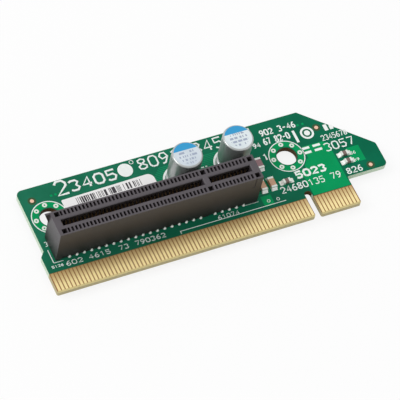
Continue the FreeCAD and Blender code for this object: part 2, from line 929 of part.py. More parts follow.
chip_solder = []


def add_chip(name, size, along, x, y):
    """A chip with a metal terminal wrapped round each end and a solder slope beside each."""
    length = f"{size}_chip_length"
    width = f"{size}_chip_width"
    height = f"{size}_chip_height"
    lies_in_x = along == "X"
    plan = (length, width) if lies_in_x else (width, length)
    body = new_box(f"{name}_body", (*plan, height), (x, y), "terminal_thickness")
    body.Label = body.Name
    parts.append(body)

    ends = []
    for side, sign in (("low", "-"), ("high", "+")):
        reach = f"{sign} ({length} - terminal_band + terminal_thickness) / 2"
        band = "terminal_band + terminal_thickness"
        girth = f"{width} + 2 * terminal_thickness"
        centre = (f"{x} {reach}", y) if lies_in_x else (x, f"{y} {reach}")
        footprint = (band, girth) if lies_in_x else (girth, band)
        thick = f"{height} + 2 * terminal_thickness"
        ends.append(new_box(f"{name}_{side}_end", (*footprint, thick), centre, "0"))
    pair = document.addObject("Part::MultiFuse", f"{name}_ends")
    pair.Shapes = ends
    core = new_box(f"{name}_core", (*plan, height), (x, y), "terminal_thickness")
    terminals = new_part("Part::Cut", f"{name}_terminals")
    terminals.Base = pair
    terminals.Tool = core

    # Each solder slope leans on the lower part of its terminal's end face.
    for turn in (0, 180):
        slope = document.addObject("Part::Wedge", f"{name}_solder_{turn}")
        for corner in ("Xmin", "Ymin", "Zmin", "X2min", "Z2min"):
            setattr(slope, corner, 0)
        bind(slope, "Xmax", "chip_solder_run")
        bind(slope, "X2max", "terminal_thickness")
        bind(slope, "Ymax", f"{height} * chip_solder_share")
        bind(slope, "Zmax", width)
        bind(slope, "Z2max", width)
        upright = FreeCAD.Rotation(FreeCAD.Vector(1, 0, 0), 90)
        heading = turn if lies_in_x else turn + 90
        spin = FreeCAD.Rotation(FreeCAD.Vector(0, 0, 1), heading)
        slope.Placement.Rotation = spin.multiply(upright)
        sign = "+" if turn == 0 else "-"
        out = f"{sign} ({length} / 2 + terminal_thickness)"
        across = f"{sign} {width} / 2"
        if lies_in_x:
            place(slope, f"{x} {out}", f"{y} {across}", "board_top")
        else:
            opposite = "-" if turn == 0 else "+"
            place(slope, f"{x} {opposite} {width} / 2", f"{y} {out}", "board_top")
        chip_solder.append(slope)


half_large = "large_chip_width / 2"
add_chip(
    "socket_chip_left",
    "large",
    "Y",
    f"socket_end + socket_chip_gap + {half_large}",
    "socket_chip_height",
)
add_chip(
    "socket_chip_right",
    "large",
    "Y",
    f"socket_end + socket_chip_gap + {half_large} + socket_chip_spacing",
    "socket_chip_height",
)
add_chip(
    "middle_chip",
    "small",
    "X",
    f"socket_end + socket_chip_gap + large_chip_width + socket_chip_spacing + middle_chip_gap"
    " + small_chip_length / 2",
    "middle_chip_height",
)
add_chip(
    "can_chip",
    "large",
    "Y",
    f"right_can_x + can_radius + can_chip_gap + {half_large}",
    "can_chip_height",
)
add_chip("lower_wing_chip", "small", "X", "wing_chip_offset", "lower_wing_chip_height")
add_chip(
    "upper_wing_chip",
    "small",
    "X",
    "wing_chip_offset",
    "lower_wing_chip_height + wing_chip_spacing",
)
solder = new_part("Part::Compound", "chip_solder")
solder.Links = chip_solder


# ---------------------------------------------------------------- Label

label = new_part("PartDesign::Body", "barcode_label")
place(label, "(label_left + label_right) / 2", "label_y", "board_top")
bind(label, "Placement.Rotation.Angle", "label_turn * 1deg")
sheet_outline = new_sketch(label, "XY_Plane", "label_outline")
half_length = "(label_right - label_left) / 2"
add_rectangle(
    sheet_outline, f"-{half_length}", half_length, "-label_height / 2", "label_height / 2"
)
paper = add_pad(label, sheet_outline, "label_thickness")
paper = round_corners(label, paper, [(half_length, "label_height / 2")], "label_corner_radius")
paper = round_corners(
    label,
    paper,
    [
        (half_length, "-label_height / 2"),
        (f"-{half_length}", "-label_height / 2"),
        (f"-{half_length}", "label_height / 2"),
    ],
    "label_small_radius",
)
label.Tip = paper


# ---------------------------------------------------------------- Check and write

document.recompute()
for item in document.Objects:
    if "Invalid" in item.State or "Error" in item.State:
        raise RuntimeError(f"{item.Label} did not recompute: {item.State}")
for item in parts:
    if item.Shape.isNull() or not item.Shape.isValid():
        raise RuntimeError(f"{item.Label} has no valid shape")
os.makedirs("parts", exist_ok=True)
for item in parts:
    item.Shape.exportStep(f"parts/{item.Label}.step")
    print(f"{item.Label}: {len(item.Shape.Solids)} solids, {item.Shape.Volume:.2f} cubic mm")
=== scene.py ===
import math

import bpy
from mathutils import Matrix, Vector


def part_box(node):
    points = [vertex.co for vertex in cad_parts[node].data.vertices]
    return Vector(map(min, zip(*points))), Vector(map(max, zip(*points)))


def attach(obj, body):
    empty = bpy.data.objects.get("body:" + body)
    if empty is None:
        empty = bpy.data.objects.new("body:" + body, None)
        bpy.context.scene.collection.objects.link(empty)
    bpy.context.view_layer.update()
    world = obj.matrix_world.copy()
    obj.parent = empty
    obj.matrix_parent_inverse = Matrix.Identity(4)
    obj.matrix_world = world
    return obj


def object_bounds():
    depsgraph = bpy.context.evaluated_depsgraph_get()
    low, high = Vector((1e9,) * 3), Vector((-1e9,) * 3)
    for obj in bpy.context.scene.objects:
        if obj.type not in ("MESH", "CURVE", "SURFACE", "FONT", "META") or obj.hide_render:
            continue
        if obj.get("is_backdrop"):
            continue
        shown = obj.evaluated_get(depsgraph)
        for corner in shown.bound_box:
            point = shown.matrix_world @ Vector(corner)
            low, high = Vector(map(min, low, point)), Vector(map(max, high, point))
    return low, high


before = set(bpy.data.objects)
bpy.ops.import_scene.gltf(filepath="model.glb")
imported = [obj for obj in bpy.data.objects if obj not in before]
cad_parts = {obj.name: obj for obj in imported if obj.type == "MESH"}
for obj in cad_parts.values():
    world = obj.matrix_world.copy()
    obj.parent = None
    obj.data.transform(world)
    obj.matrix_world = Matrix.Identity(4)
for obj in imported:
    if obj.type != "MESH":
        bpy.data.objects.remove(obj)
cad_low, cad_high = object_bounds()

# The circuit board is glass-fibre laminate under a green solder mask. It is routed to its outline
# and drilled, and its beveled card edge stays bare for the gold fingers. Places on the board are
# in millimetres from the key notch's centre line and from the card edge.
MM = 0.001
board_low, board_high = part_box("circuit_board")
tongue_reach = 72.15
key_x = board_low.x / MM + tongue_reach
edge_y = board_low.y / MM
board_top = board_high.z / MM
mask_edge = 5.75
bevel_edge = 0.45
left_hole = (-65.4, 21.3)
right_hole = (-0.2, 19.2)
hole_radius = 2.7
bore_margin = 0.1
notch_top = (0, 7.2)
notch_reach = 1.15
fiducials = ((-67.93, 27.2), (11.06, 25.0), (19.65, 9.93))
opening_radius = 1.1
front_skin = 0.1
# By the card edge, painted shade from the socket deepens the mask's green across this strip.
strip_low = 6.0
strip_high = 10.5
socket_shade_share = 0.3
weave_scale = 1500
mask_shine = 0.06
roughness_drift = 0.15
# A face belongs to an axis when its normal has more than this along it.
facing_limit = 0.5


def srgb(red, green, blue):
    """A colour given in display values, as the shader wants it."""
    levels = [channel / 255 for channel in (red, green, blue)]
    return (*[((c + 0.055) / 1.055) ** 2.4 if c > 0.04 else c / 12.92 for c in levels], 1)


def node(tree, kind, **settings):
    """Adds a shader node; settings are its own properties."""
    made = tree.nodes.new("ShaderNode" + kind)
    for name, value in settings.items():
        setattr(made, name, value)
    return made


def calculate(tree, operation, *values):
    """A Math node on numbers or sockets."""
    made = node(tree, "Math", operation=operation)
    for socket, value in zip(made.inputs, values):
        if isinstance(value, (int, float)):
            socket.default_value = value
        else:
            tree.links.new(value, socket)
    return made.outputs[0]


def blend_colours(tree, factor, first, second):
    """Mixes two colours, each a socket or a plain colour."""
    made = node(tree, "Mix", data_type="RGBA")
    tree.links.new(factor, made.inputs["Factor"])
    for socket, value in ((made.inputs[6], first), (made.inputs[7], second)):
        if isinstance(value, tuple):
            socket.default_value = value
        else:
            tree.links.new(value, socket)
    return made.outputs[2]


def run_between(tree, value, start, end, first=0.0, last=1.0):
    """Runs from first to last while a socket's value runs from start to end."""
    made = node(tree, "MapRange")
    made.inputs["From Min"].default_value = start
    made.inputs["From Max"].default_value = end
    made.inputs["To Min"].default_value = first
    made.inputs["To Max"].default_value = last
    tree.links.new(value, made.inputs["Value"])
    return made.outputs["Result"]


def read_place(tree):
    """Where a point of the piece lies, in metres, as X, Y and Z."""
    place = node(tree, "SeparateXYZ")
    tree.links.new(node(tree, "TexCoord").outputs["Object"], place.inputs[0])
    return place.outputs


def read_facing(tree):
    """How far the surface faces each way, as X, Y and Z."""
    facing = node(tree, "SeparateXYZ")
    tree.links.new(node(tree, "NewGeometry").outputs["True Normal"], facing.inputs[0])
    return facing.outputs


def fine_surface_group():
    """A shared surface: a broad mottle, a fine grain and the bump they give."""
    group = bpy.data.node_groups.new("fine_surface", "ShaderNodeTree")
    face = group.interface
    for name, value in (("Mottle Scale", 400.0), ("Grain Scale", 4000.0), ("Depth", 0.00001)):
        socket = face.new_socket(name, in_out="INPUT", socket_type="NodeSocketFloat")
        socket.default_value = value
    face.new_socket("Mottle", in_out="OUTPUT", socket_type="NodeSocketFloat")
    face.new_socket("Normal", in_out="OUTPUT", socket_type="NodeSocketVector")
    start = group.nodes.new("NodeGroupInput")
    end = group.nodes.new("NodeGroupOutput")
    coordinates = node(group, "TexCoord")
    mottle = node(group, "TexNoise")
    grain = node(group, "TexNoise")
    mottle.inputs["Detail"].default_value = 3
    grain.inputs["Detail"].default_value = 2
    bump = node(group, "Bump")
    bump.inputs["Strength"].default_value = 1
    for noise, scale in ((mottle, "Mottle Scale"), (grain, "Grain Scale")):
        group.links.new(coordinates.outputs["Object"], noise.inputs["Vector"])
        group.links.new(start.outputs[scale], noise.inputs["Scale"])
    group.links.new(grain.outputs["Fac"], bump.inputs["Height"])
    group.links.new(start.outputs["Depth"], bump.inputs["Distance"])
    group.links.new(mottle.outputs["Fac"], end.inputs["Mottle"])
    group.links.new(bump.outputs["Normal"], end.inputs["Normal"])
    return group


def round_spot_group():
    """A shared mask: 1 within a radius, in metres, of an upright line."""
    group = bpy.data.node_groups.new("round_spot", "ShaderNodeTree")
    for name in ("Centre X", "Centre Y", "Radius"):
        group.interface.new_socket(name, in_out="INPUT", socket_type="NodeSocketFloat")
    group.interface.new_socket("Mask", in_out="OUTPUT", socket_type="NodeSocketFloat")
    start = group.nodes.new("NodeGroupInput")
    end = group.nodes.new("NodeGroupOutput")
    place = read_place(group)
    x = calculate(group, "SUBTRACT", place["X"], start.outputs["Centre X"])
    y = calculate(group, "SUBTRACT", place["Y"], start.outputs["Centre Y"])
    squares = [calculate(group, "MULTIPLY", side, side) for side in (x, y, start.outputs["Radius"])]
    distance = calculate(group, "ADD", squares[0], squares[1])
    group.links.new(calculate(group, "LESS_THAN", distance, squares[2]), end.inputs["Mask"])
    return group


fine_surface = fine_surface_group()
round_spot = round_spot_group()


def new_material(name, roughness, metallic=0.0, mottle=400, grain=4000, depth=0.00001):
    """A material on the shared surface, its colour left to the caller.
    Returns the material, its tree, the shader and the surface's mottle."""
    material = bpy.data.materials.new(name)
    material.use_nodes = True
    tree = material.node_tree
    shader = tree.nodes["Principled BSDF"]
    shader.inputs["Metallic"].default_value = metallic
    surface = node(tree, "Group")
    surface.node_tree = fine_surface
    surface.inputs["Mottle Scale"].default_value = mottle
    surface.inputs["Grain Scale"].default_value = grain
    surface.inputs["Depth"].default_value = depth
    tree.links.new(surface.outputs["Normal"], shader.inputs["Normal"])
    low, high = roughness * (1 - roughness_drift), roughness * (1 + roughness_drift)
    spread = run_between(tree, surface.outputs["Mottle"], 0.0, 1.0, low, high)
    tree.links.new(spread, shader.inputs["Roughness"])
    return material, tree, shader, surface.outputs["Mottle"]


def near_point(tree, point, radius):
    """1 within a radius of a board position, at any height."""
    spot = node(tree, "Group")
    spot.node_tree = round_spot
    spot.inputs["Centre X"].default_value = (key_x + point[0]) * MM
    spot.inputs["Centre Y"].default_value = (edge_y + point[1]) * MM
    spot.inputs["Radius"].default_value = radius * MM
    return spot.outputs["Mask"]


def dress(name, material):
    """Gives a node of the part its finish."""
    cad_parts[name].data.materials[0] = material


board_material, tree, shader, mottle = new_material(
    "solder_mask", roughness=0.32, mottle=160, grain=2600, depth=0.000006
)
shader.inputs["Specular IOR Level"].default_value = mask_shine
place = read_place(tree)
across = run_between(tree, place["X"], cad_low.x, cad_high.x)
shade = blend_colours(tree, across, srgb(20, 98, 70), srgb(0, 92, 64))
tint = blend_colours(tree, across, srgb(40, 128, 98), srgb(4, 120, 86))
colour = blend_colours(tree, mottle, shade, tint)
# Painted shade from the socket: the green darkens across the strip by the card edge.
socket_shade = run_between(
    tree, place["Y"], (edge_y + strip_low) * MM, (edge_y + strip_high) * MM, socket_shade_share, 0.0
)
colour = blend_colours(tree, socket_shade, colour, srgb(10, 50, 38))
front = calculate(tree, "GREATER_THAN", place["Z"], (board_top - front_skin) * MM)
for spot in fiducials:
    opening = calculate(tree, "MULTIPLY", front, near_point(tree, spot, opening_radius))
    colour = blend_colours(tree, opening, colour, srgb(62, 88, 60))
weave = node(tree, "TexNoise")
weave.inputs["Scale"].default_value = weave_scale
tree.links.new(node(tree, "TexCoord").outputs["Object"], weave.inputs["Vector"])
fibres = weave.outputs["Fac"]
bare = calculate(tree, "LESS_THAN", place["Y"], (edge_y + mask_edge) * MM)
bare_colour = blend_colours(tree, fibres, srgb(132, 92, 56), srgb(170, 126, 82))
colour = blend_colours(tree, bare, colour, bare_colour)
bevel = calculate(tree, "LESS_THAN", place["Y"], (edge_y + bevel_edge) * MM)
bevel_colour = blend_colours(tree, fibres, srgb(198, 182, 128), srgb(222, 206, 150))
colour = blend_colours(tree, bevel, colour, bevel_colour)
facing = read_facing(tree)
upright = calculate(tree, "LESS_THAN", calculate(tree, "ABSOLUTE", facing["Z"]), facing_limit)
masked_edge = blend_colours(tree, fibres, srgb(182, 204, 178), srgb(216, 230, 210))
tongue_edge = blend_colours(tree, fibres, srgb(166, 154, 116), srgb(196, 186, 146))
edge_colour = blend_colours(tree, bare, masked_edge, tongue_edge)
colour = blend_colours(tree, upright, colour, edge_colour)
# Painted shade: the walls of the mounting holes and the notch's top are painted a darker brown than
# the laminate, for the shade in these hollows.
bore_reach = hole_radius + bore_margin
for spot, reach in ((left_hole, bore_reach), (right_hole, bore_reach), (notch_top, notch_reach)):
    bore_shade = calculate(tree, "MULTIPLY", upright, near_point(tree, spot, reach))
    colour = blend_colours(tree, bore_shade, colour, srgb(96, 74, 48))
tree.links.new(colour, shader.inputs["Base Color"])
dress("circuit_board", board_material)

# Copper areas lie under the mask, each a hair higher than the laminate round it, and show as a
# lighter green. They are etched patches: a ground plane by the key notch, a ring round each
# mounting hole and a few test spots.
copper_height = 0.012
ring_margin = 0.25
ring_width = 1.6
ring_reach = hole_radius + ring_margin + ring_width
# left, right, low, high, and the lines that cut its corners: a point and the way outwards
ground_patches = (
    (1.3, 11.9, 5.9, 11.8, ()),
    (-0.5, 11.9, 11.8, 14.2, ()),
    (3.0, 11.9, 14.2, 16.8, (((3.0, 15.0), (-0.8, 0.6)),)),
    (4.9, 11.9, 16.8, 20.6, (((10.6, 20.6), (0.6, 0.8)),)),
    (15.6, 19.2, 11.8, 16.6, ()),
    (-12.2, -9.4, 6.7, 9.8, ()),
)
test_spots = (-62.7, -61.5, -60.3, 6.7, 8.1)
test_spot_low = 26.9
test_spot_size = 0.6


def board_point(x, y):
    """A place on the board's front face, in the frame's metres."""
    return Vector(((key_x + x) * MM, (edge_y + y) * MM, board_top * MM))


def deselect():
    """Leaves edit mode and nothing selected."""
    if bpy.context.mode != "OBJECT":
        bpy.ops.object.mode_set(mode="OBJECT")
    bpy.ops.object.select_all(action="DESELECT")


def raise_flat(height):
    """Gives the flat mesh being edited its thickness and shuts it."""
    bpy.ops.mesh.select_all(action="SELECT")
    bpy.ops.mesh.extrude_region_move(TRANSFORM_OT_translate={"value": (0, 0, height * MM)})
    bpy.ops.mesh.select_all(action="SELECT")
    bpy.ops.mesh.normals_make_consistent(inside=False)
    bpy.ops.object.mode_set(mode="OBJECT")


def flat_patch(left, right, low, high, height, cuts=()):
    """A thin flat patch on the board, its corners cut off by lines."""
    deselect()
    centre = board_point((left + right) / 2, (low + high) / 2)
    bpy.ops.mesh.primitive_plane_add(size=1, location=centre)
    patch = bpy.context.object
    patch.scale = ((right - left) * MM, (high - low) * MM, 1)
    bpy.ops.object.transform_apply(location=True, rotation=True, scale=True)
    bpy.ops.object.mode_set(mode="EDIT")
    for point, outwards in cuts:
        bpy.ops.mesh.select_all(action="SELECT")
        bpy.ops.mesh.bisect(
            plane_co=board_point(*point), plane_no=(*outwards, 0), clear_outer=True
        )
    raise_flat(height)
    return patch


def flat_ring(x, y, outer, width, height, steps=72):
    """A thin flat ring on the board; a width of 0 leaves it a disc."""
    deselect()
    bpy.ops.mesh.primitive_circle_add(
        vertices=steps, radius=outer * MM, fill_type="NGON", location=board_point(x, y)
    )
    ring = bpy.context.object
    bpy.ops.object.transform_apply(location=True, rotation=True, scale=True)
    bpy.ops.object.mode_set(mode="EDIT")
    if width:
        bpy.ops.mesh.select_all(action="SELECT")
        bpy.ops.mesh.inset(thickness=width * MM)
        bpy.ops.mesh.delete(type="FACE")
    raise_flat(height)
    return ring


def finish_piece(parts, name, material):
    """Joins the parts of a piece and gives it its name, finish and place on the board."""
    deselect()
    for part in parts:
        part.select_set(True)
    bpy.context.view_layer.objects.active = parts[0]
    bpy.ops.object.join()
    piece = bpy.context.view_layer.objects.active
    piece.name = name
    piece.data.name = name
    piece.data.materials.clear()
    piece.data.materials.append(material)
    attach(piece, "root")


copper_areas = [
    flat_patch(left, right, low, high, copper_height, cuts)
    for left, right, low, high, cuts in ground_patches
]
for hole in (right_hole, left_hole):
    copper_areas.append(flat_ring(*hole, ring_reach, ring_width, copper_height))
for middle in test_spots:
    left, right = middle - test_spot_size / 2, middle + test_spot_size / 2
    high = test_spot_low + test_spot_size
    copper_areas.append(flat_patch(left, right, test_spot_low, high, copper_height))
area_material, tree, shader, mottle = new_material(
    "mask_over_copper", roughness=0.3, mottle=220, grain=2600, depth=0.000006
)
shader.inputs["Specular IOR Level"].default_value = mask_shine
colour = blend_colours(tree, mottle, srgb(0, 140, 80), srgb(2, 164, 100))
tree.links.new(colour, shader.inputs["Base Color"])
finish_piece(copper_areas, "copper_areas", area_material)

# Traces show fainter through the mask: bundles of fine parallel lines behind the socket and
# beside the notch, etched in the same copper as the areas.
trace_width = 0.22
# left, right, first line's low side, number of lines, pitch
trace_bundles = (
    (-38.0, -12.0, 21.6, 10, 0.5),
    (-12.6, -6.2, 10.4, 5, 0.6),
    (-24.0, -13.0, 16.9, 4, 0.6),
)
traces = []
for left, right, first, count, pitch in trace_bundles:
    for step in range(count):
        low = first + step * pitch
        traces.append(
            flat_patch(left + step * pitch, right, low, low + trace_width, copper_height)
        )
trace_material, tree, shader, mottle = new_material(
    "mask_over_traces", roughness=0.3, mottle=300, grain=2600, depth=0.000006
)
shader.inputs["Specular IOR Level"].default_value = mask_shine
colour = blend_colours(tree, mottle, srgb(14, 140, 94), srgb(32, 154, 108))
tree.links.new(colour, shader.inputs["Base Color"])
finish_piece(traces, "copper_traces", trace_material)

# The gold fingers are copper, plated with nickel and a thin flash of gold. They are bright by the
# card edge and run dull and browner towards the mask.
bright_reach = 2.2
worn_share = 0.4
gold, tree, shader, mottle = new_material("gold_plating", roughness=0.3, metallic=0.2, mottle=900)
along = run_between(
    tree, read_place(tree)["Y"], (edge_y + bright_reach) * MM, (edge_y + mask_edge) * MM
)
colour = blend_colours(tree, along, srgb(255, 236, 172), srgb(166, 134, 88))
worn = calculate(tree, "MULTIPLY", mottle, worn_share)
colour = blend_colours(tree, worn, colour, srgb(240, 208, 140))
tree.links.new(colour, shader.inputs["Base Color"])
dress("gold_fingers_front", gold)
dress("gold_fingers_back", gold)

# The fiducial marks are discs of bare copper under a clear finish, each in an opening of the
# mask. They are etched with the rest of the copper.
copper_colours = (srgb(236, 178, 150), srgb(250, 210, 188))


def plain_material(name, dark, light, roughness, **surface_settings):
    """A finish that drifts between two near colours with the surface's mottle."""
    material, tree, shader, mottle = new_material(name, roughness, **surface_settings)
    tree.links.new(blend_colours(tree, mottle, dark, light), shader.inputs["Base Color"])
    return material


bare_copper = plain_material("bare_copper", *copper_colours, 0.35, metallic=0.4, mottle=1200)
dress("fiducial_marks", bare_copper)

# The vias round the mounting holes are copper barrels with a pad on each face, plated through
# the board and tinned in the same bath as the other bare copper.
sides = ("left", "right")
tin = plain_material(
    "tinned_copper", srgb(214, 220, 212), srgb(244, 248, 242), 0.35, metallic=0.3, mottle=1500
)
for side in sides:
    dress(f"mounting_hole_vias_{side}", tin)

# The socket housing is moulded in dark glass-filled polymer. Its top and end are painted lighter
# than the satin long sides, as painted light, and the long sides darken towards the foot with
# painted shade.
housing, tree, shader, mottle = new_material(
    "housing_plastic", roughness=0.42, mottle=220, grain=5200, depth=0.00002
)
facing = read_facing(tree)
rise = run_between(tree, read_place(tree)["Z"], board_top * MM, cad_high.z)
# Painted shade darkens the long sides towards the foot; painted light makes the top faces and the
# upper end face lighter.
side_shade_colour = blend_colours(tree, rise, srgb(30, 25, 27), srgb(58, 53, 52))
lit_face_colour = blend_colours(tree, mottle, srgb(70, 65, 70), srgb(84, 78, 83))
flat_top = calculate(tree, "GREATER_THAN", facing["Z"], facing_limit)
flat_end = calculate(tree, "LESS_THAN", facing["X"], -facing_limit)
lit_faces = calculate(tree, "MAXIMUM", flat_top, calculate(tree, "MULTIPLY", flat_end, rise))
colour = blend_colours(tree, lit_faces, side_shade_colour, lit_face_colour)
tree.links.new(colour, shader.inputs["Base Color"])
dress("socket_housing", housing)

# The socket's contacts are stamped from bronze strip and pressed into the housing in four rows.
# Above their tails they are painted a dull dark bronze instead of gold, as painted shade of the
# deep slot. Their tails are tinned below the housing's floor, to take the solder.
tinned_height = 0.9
contact_metal, tree, shader, mottle = new_material(
    "contact_metal", roughness=0.35, metallic=0.85, mottle=900
)
tinned = calculate(tree, "LESS_THAN", read_place(tree)["Z"], (board_top + tinned_height) * MM)
# Painted shade: the contacts above the tinned tails are a dull dark bronze for the shade in the
# slot.
shaded_contact_colour = blend_colours(tree, mottle, srgb(112, 88, 62), srgb(150, 122, 88))
colour = blend_colours(tree, tinned, shaded_contact_colour, srgb(236, 238, 234))
tree.links.new(colour, shader.inputs["Base Color"])
for row in ("near_outer", "near_inner", "far_inner", "far_outer"):
    dress(row + "_contacts", contact_metal)

# The solder joints fill the holes round the contacts' tails. The solder is bright, with a soft
# and uneven surface from cooling.
solder = plain_material(
    "solder", srgb(240, 242, 240), srgb(255, 255, 252), 0.28,
    metallic=0.2, mottle=1200, grain=1800, depth=0.00003,
)
dress("socket_solder_joints", solder)

# Each capacitor is a lacquered aluminium can, crimped round a rubber bung that two tinned leads
# leave through. On its end face a blue segment marks the negative lead, beside faint print.
can_centres = {}
for side in sides:
    can_low, can_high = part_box(f"{side}_capacitor_can")
    can_centres[side] = (can_low + can_high) / 2
can_radius = (can_high.x - can_low.x) / 2
can_top = can_high.z
face_depth = 0.02
segment_share = 0.35
print_pitch = 1.1
print_width = 0.28
print_drop = 0.5
print_reach = 2.4
blank_share = 0.45
row_gap_share = 0.45
lacquer_colours = {
    "left": (srgb(188, 200, 210), srgb(222, 230, 237)),
    "right": (srgb(206, 218, 222), srgb(236, 243, 246)),
}


def board_place(point):
    """The frame's metres as a place on the board."""
    return point.x / MM - key_x, point.y / MM - edge_y


for side, centre in can_centres.items():
    can_finish, tree, shader, mottle = new_material(
        f"{side}_can_finish", roughness=0.3, metallic=0.7, mottle=300, grain=3000, depth=0.000004
    )
    place = read_place(tree)
    print_rows = calculate(tree, "DIVIDE", place["Y"], print_pitch * MM)
    print_columns = calculate(tree, "DIVIDE", place["X"], print_width * MM)
    cell = node(tree, "CombineXYZ")
    tree.links.new(calculate(tree, "FLOOR", print_columns), cell.inputs["X"])
    tree.links.new(calculate(tree, "FLOOR", print_rows), cell.inputs["Y"])
    chance = node(tree, "TexWhiteNoise", noise_dimensions="2D")
    tree.links.new(cell.outputs["Vector"], chance.inputs["Vector"])
    printed = calculate(tree, "GREATER_THAN", chance.outputs["Value"], blank_share)
    in_row = calculate(tree, "FRACT", print_rows)
    in_row = calculate(tree, "GREATER_THAN", in_row, row_gap_share)
    x, y = board_place(centre)
    in_print = near_point(tree, (x, y - print_drop), print_reach)
    inked = calculate(tree, "MULTIPLY", calculate(tree, "MULTIPLY", printed, in_row), in_print)
    lacquer = blend_colours(tree, mottle, *lacquer_colours[side])
    face = blend_colours(tree, inked, lacquer, srgb(162, 172, 192))
    segment_edge = centre.y + can_radius * segment_share
    segment = calculate(tree, "GREATER_THAN", place["Y"], segment_edge)
    face = blend_colours(tree, segment, face, srgb(56, 156, 208))
    silver = blend_colours(tree, mottle, srgb(158, 162, 161), srgb(192, 196, 195))
    top = calculate(tree, "GREATER_THAN", place["Z"], can_top - face_depth * MM)
    colour = blend_colours(tree, top, silver, face)
    tree.links.new(colour, shader.inputs["Base Color"])
    dress(f"{side}_capacitor_can", can_finish)
rubber = plain_material("seal_rubber", srgb(28, 28, 28), srgb(44, 43, 42), 0.7, mottle=800)
for side in sides:
    dress(f"{side}_capacitor_seal", rubber)
    dress(f"{side}_capacitor_leads", tin)
    dress(f"{side}_capacitor_solder", solder)

# The chips are fired ceramic blocks with tinned ends, soldered to tinned pads on the board: tan
# or mauve on the three large ones and grey-brown on the three small ones.
tan_ceramic = plain_material(
    "tan_ceramic", srgb(196, 150, 118), srgb(222, 178, 146), 0.5, mottle=1200
)
mauve_ceramic = plain_material(
    "mauve_ceramic", srgb(138, 100, 106), srgb(170, 134, 138), 0.5, mottle=1200
)
grey_ceramic = plain_material(
    "grey_ceramic", srgb(104, 84, 80), srgb(140, 116, 110), 0.5, mottle=1200
)
chips = {
    "socket_chip_left": tan_ceramic,
    "socket_chip_right": tan_ceramic,
    "can_chip": mauve_ceramic,
    "middle_chip": grey_ceramic,
    "lower_wing_chip": grey_ceramic,
    "upper_wing_chip": grey_ceramic,
}
pad_height = 0.03
pad_margin = 0.1
small_pad_reach = 0.95
large_pad_reach = 0.5
pads = []
for name, ceramic in chips.items():
    dress(name + "_body", ceramic)
    dress(name + "_terminals", tin)
    body_low, body_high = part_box(name + "_body")
    left, low = board_place(body_low)
    right, high = board_place(body_high)
    if right - left > high - low:
        low, high = low - pad_margin, high + pad_margin
        pads.append(flat_patch(left - small_pad_reach, left, low, high, pad_height))
        pads.append(flat_patch(right, right + small_pad_reach, low, high, pad_height))
    else:
        left, right = left - pad_margin, right + pad_margin
        pads.append(flat_patch(left, right, low - large_pad_reach, low, pad_height))
        pads.append(flat_patch(left, right, high, high + large_pad_reach, pad_height))
finish_piece(pads, "chip_pads", tin)
dress("chip_solder", solder)

# The label is a white coated paper strip, printed with plain bars and stuck to the board a
# little out of square.
label_low, label_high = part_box("barcode_label")
label_turn = 0.8
bar_width = 0.16
bar_share = 0.5
bars_middle = 1.6
bars_half_run = 9.1
bars_half_height = 0.95
label_paper, tree, shader, mottle = new_material(
    "label_paper", roughness=0.55, mottle=500, grain=6000, depth=0.000006
)
turned = node(tree, "Mapping", vector_type="TEXTURE")
turned.inputs["Location"].default_value = (label_low + label_high) / 2
turned.inputs["Rotation"].default_value = (0, 0, math.radians(label_turn))
tree.links.new(node(tree, "TexCoord").outputs["Object"], turned.inputs["Vector"])
on_label = node(tree, "SeparateXYZ")
tree.links.new(turned.outputs["Vector"], on_label.inputs[0])
run, height = on_label.outputs["X"], on_label.outputs["Y"]
chance = node(tree, "TexWhiteNoise", noise_dimensions="1D")
step = calculate(tree, "FLOOR", calculate(tree, "DIVIDE", run, bar_width * MM))
tree.links.new(step, chance.inputs["W"])
bar = calculate(tree, "GREATER_THAN", chance.outputs["Value"], bar_share)
off_middle = calculate(tree, "SUBTRACT", height, bars_middle * MM)
for distance, reach in ((run, bars_half_run), (off_middle, bars_half_height)):
    within = calculate(tree, "LESS_THAN", calculate(tree, "ABSOLUTE", distance), reach * MM)
    bar = calculate(tree, "MULTIPLY", bar, within)
paper = blend_colours(tree, mottle, srgb(244, 243, 242), srgb(254, 252, 252))
colour = blend_colours(tree, bar, paper, srgb(50, 46, 52))
tree.links.new(colour, shader.inputs["Base Color"])
dress("barcode_label", label_paper)

# The legend's numbers are white epoxy ink, screened on the mask. Each is a line drawn with a
# round pen and pressed flat. The pen's path is given in a box one wide and one high.
ink_height = 0.03
character_gap = 0.3
ink_material = plain_material(
    "legend_ink", srgb(236, 244, 240), srgb(255, 255, 254), 0.5, mottle=1500, depth=0.000006
)
pen_paths = {
    "0": (
        (0.25, 0), (0.75, 0), (1, 0.2), (1, 0.8), (0.75, 1), (0.25, 1), (0, 0.8), (0, 0.2),
        (0.25, 0),
    ),
    "1": ((0.15, 0.8), (0.55, 1), (0.55, 0)),
    "2": ((0, 0.8), (0.25, 1), (0.75, 1), (1, 0.8), (1, 0.6), (0, 0), (1, 0)),
    "3": (
        (0, 0.9), (0.25, 1), (0.75, 1), (1, 0.8), (0.7, 0.52), (1, 0.25), (0.75, 0), (0.25, 0),
        (0, 0.1),
    ),
    "4": ((0.75, 0), (0.75, 1), (0, 0.3), (1, 0.3)),
    "5": (
        (0.95, 1), (0.05, 1), (0.05, 0.55), (0.7, 0.6), (1, 0.35), (0.75, 0), (0.25, 0), (0, 0.1),
    ),
    "6": (
        (0.9, 1), (0.5, 0.95), (0, 0.4), (0.25, 0), (0.75, 0), (1, 0.25), (0.75, 0.55),
        (0.1, 0.45),
    ),
    "7": ((0, 1), (1, 1), (0.35, 0)),
    "8": (
        (0.5, 0.52), (0.1, 0.7), (0.1, 0.9), (0.5, 1), (0.9, 0.9), (0.9, 0.7), (0.5, 0.52),
        (0, 0.3), (0.1, 0.08), (0.5, 0), (0.9, 0.08), (1, 0.3), (0.5, 0.52),
    ),
    "9": (
        (0.1, 0), (0.5, 0.05), (1, 0.6), (0.75, 1), (0.25, 1), (0, 0.75), (0.25, 0.45),
        (0.9, 0.55),
    ),
    "-": ((0.1, 0.5), (0.9, 0.5)),
}
